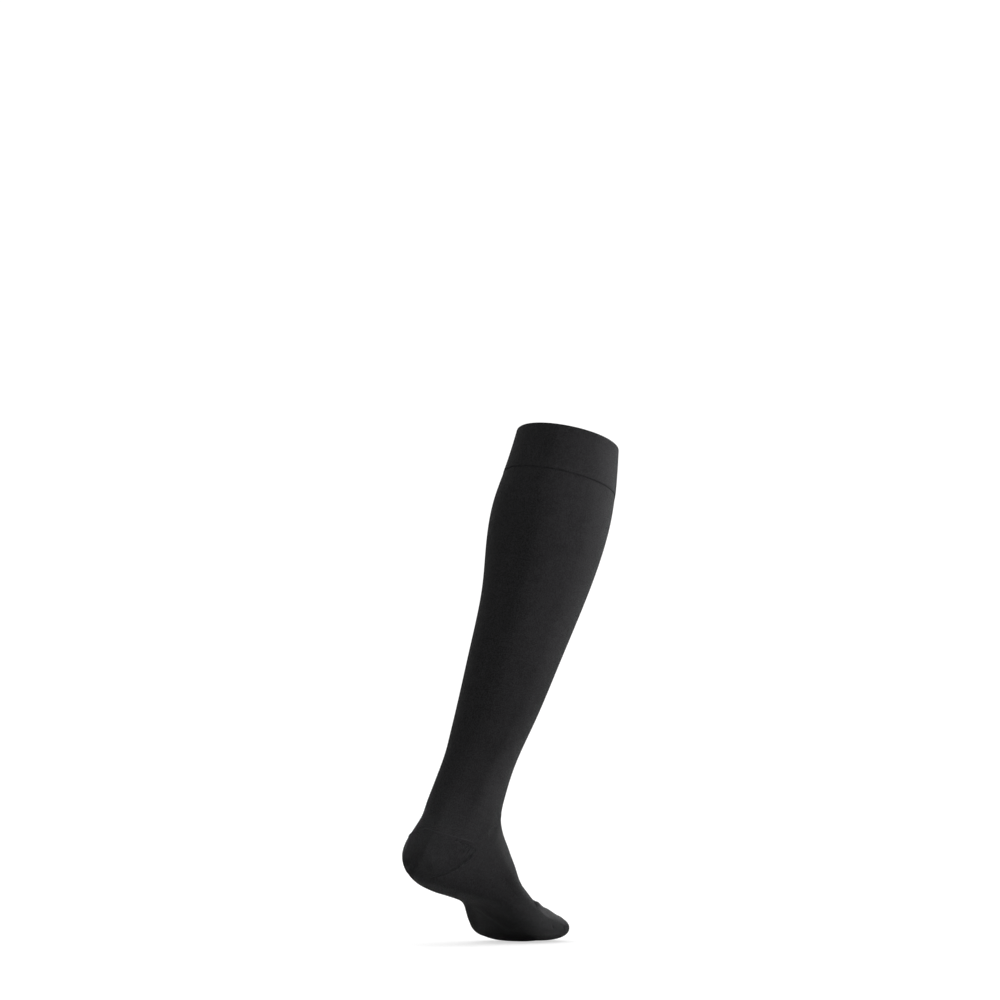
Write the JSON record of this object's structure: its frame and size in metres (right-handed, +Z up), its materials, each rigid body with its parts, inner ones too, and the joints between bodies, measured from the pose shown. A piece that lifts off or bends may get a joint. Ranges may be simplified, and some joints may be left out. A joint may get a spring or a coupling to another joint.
{
  "type": "knee-high compression stocking",
  "caption": "Knee-high compression stocking in dark knit with a doubled top band, graduated leg, heel pocket and closed toe, holding its worn shape with the heel raised",
  "frame": {"origin": "Centre of the top band's edge, where the leg of the wearer holds the stocking up.", "axes": "+Z up, toes towards -Y, +X the inner side of the leg, metres. The toes rest level with the floor at the lowest Z, and the heel is raised."},
  "size_m": [0.1113, 0.249, 0.4624],
  "materials": {
    "band_knit": "doubled elastic knit, matt, fine ribs",
    "leg_knit": "fine compression knit, dull with a soft sheen at its edges",
    "heel_knit": "denser reinforced knit, matt"
  },
  "bodies": {
    "root": {"top_band": "band_knit", "leg": "leg_knit", "heel": "heel_knit", "foot": "leg_knit", "toe": "leg_knit"}
  },
  "joints": []
}
